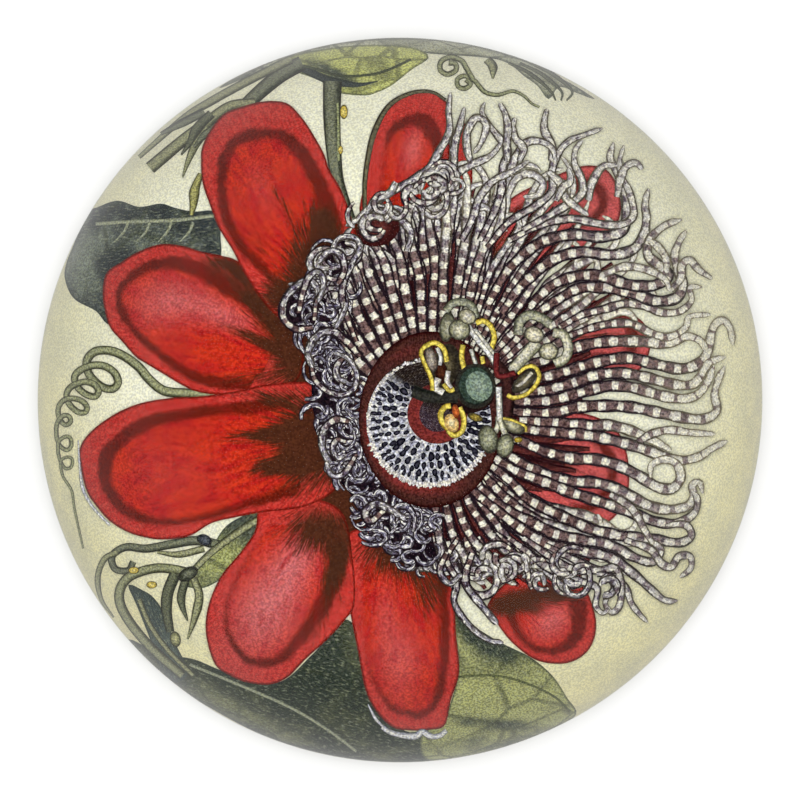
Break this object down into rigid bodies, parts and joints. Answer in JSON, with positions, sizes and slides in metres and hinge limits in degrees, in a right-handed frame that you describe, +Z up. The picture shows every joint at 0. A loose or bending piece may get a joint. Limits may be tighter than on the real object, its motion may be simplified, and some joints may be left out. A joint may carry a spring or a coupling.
{
  "type": "domed glass paperweight",
  "caption": "Solid clear glass dome on a printed paper disc, with a felt pad under its flat base; it rests free on a desk.",
  "frame": {"origin": "centre of the felt pad's underside, on the surface that the paperweight stands on", "axes": "+Z up along the axis that all three pieces are turned about; +Y towards the top edge of the picture; +X towards its right edge"},
  "size_m": [0.0888, 0.0888, 0.039],
  "materials": {
    "clear_glass": "polished clear",
    "printed_paper": "matt print on cream paper",
    "felt": "dense wool felt"
  },
  "bodies": {
    "root": {"glass_dome": "clear_glass", "printed_sheet": "printed_paper", "felt_pad": "felt"}
  },
  "joints": []
}
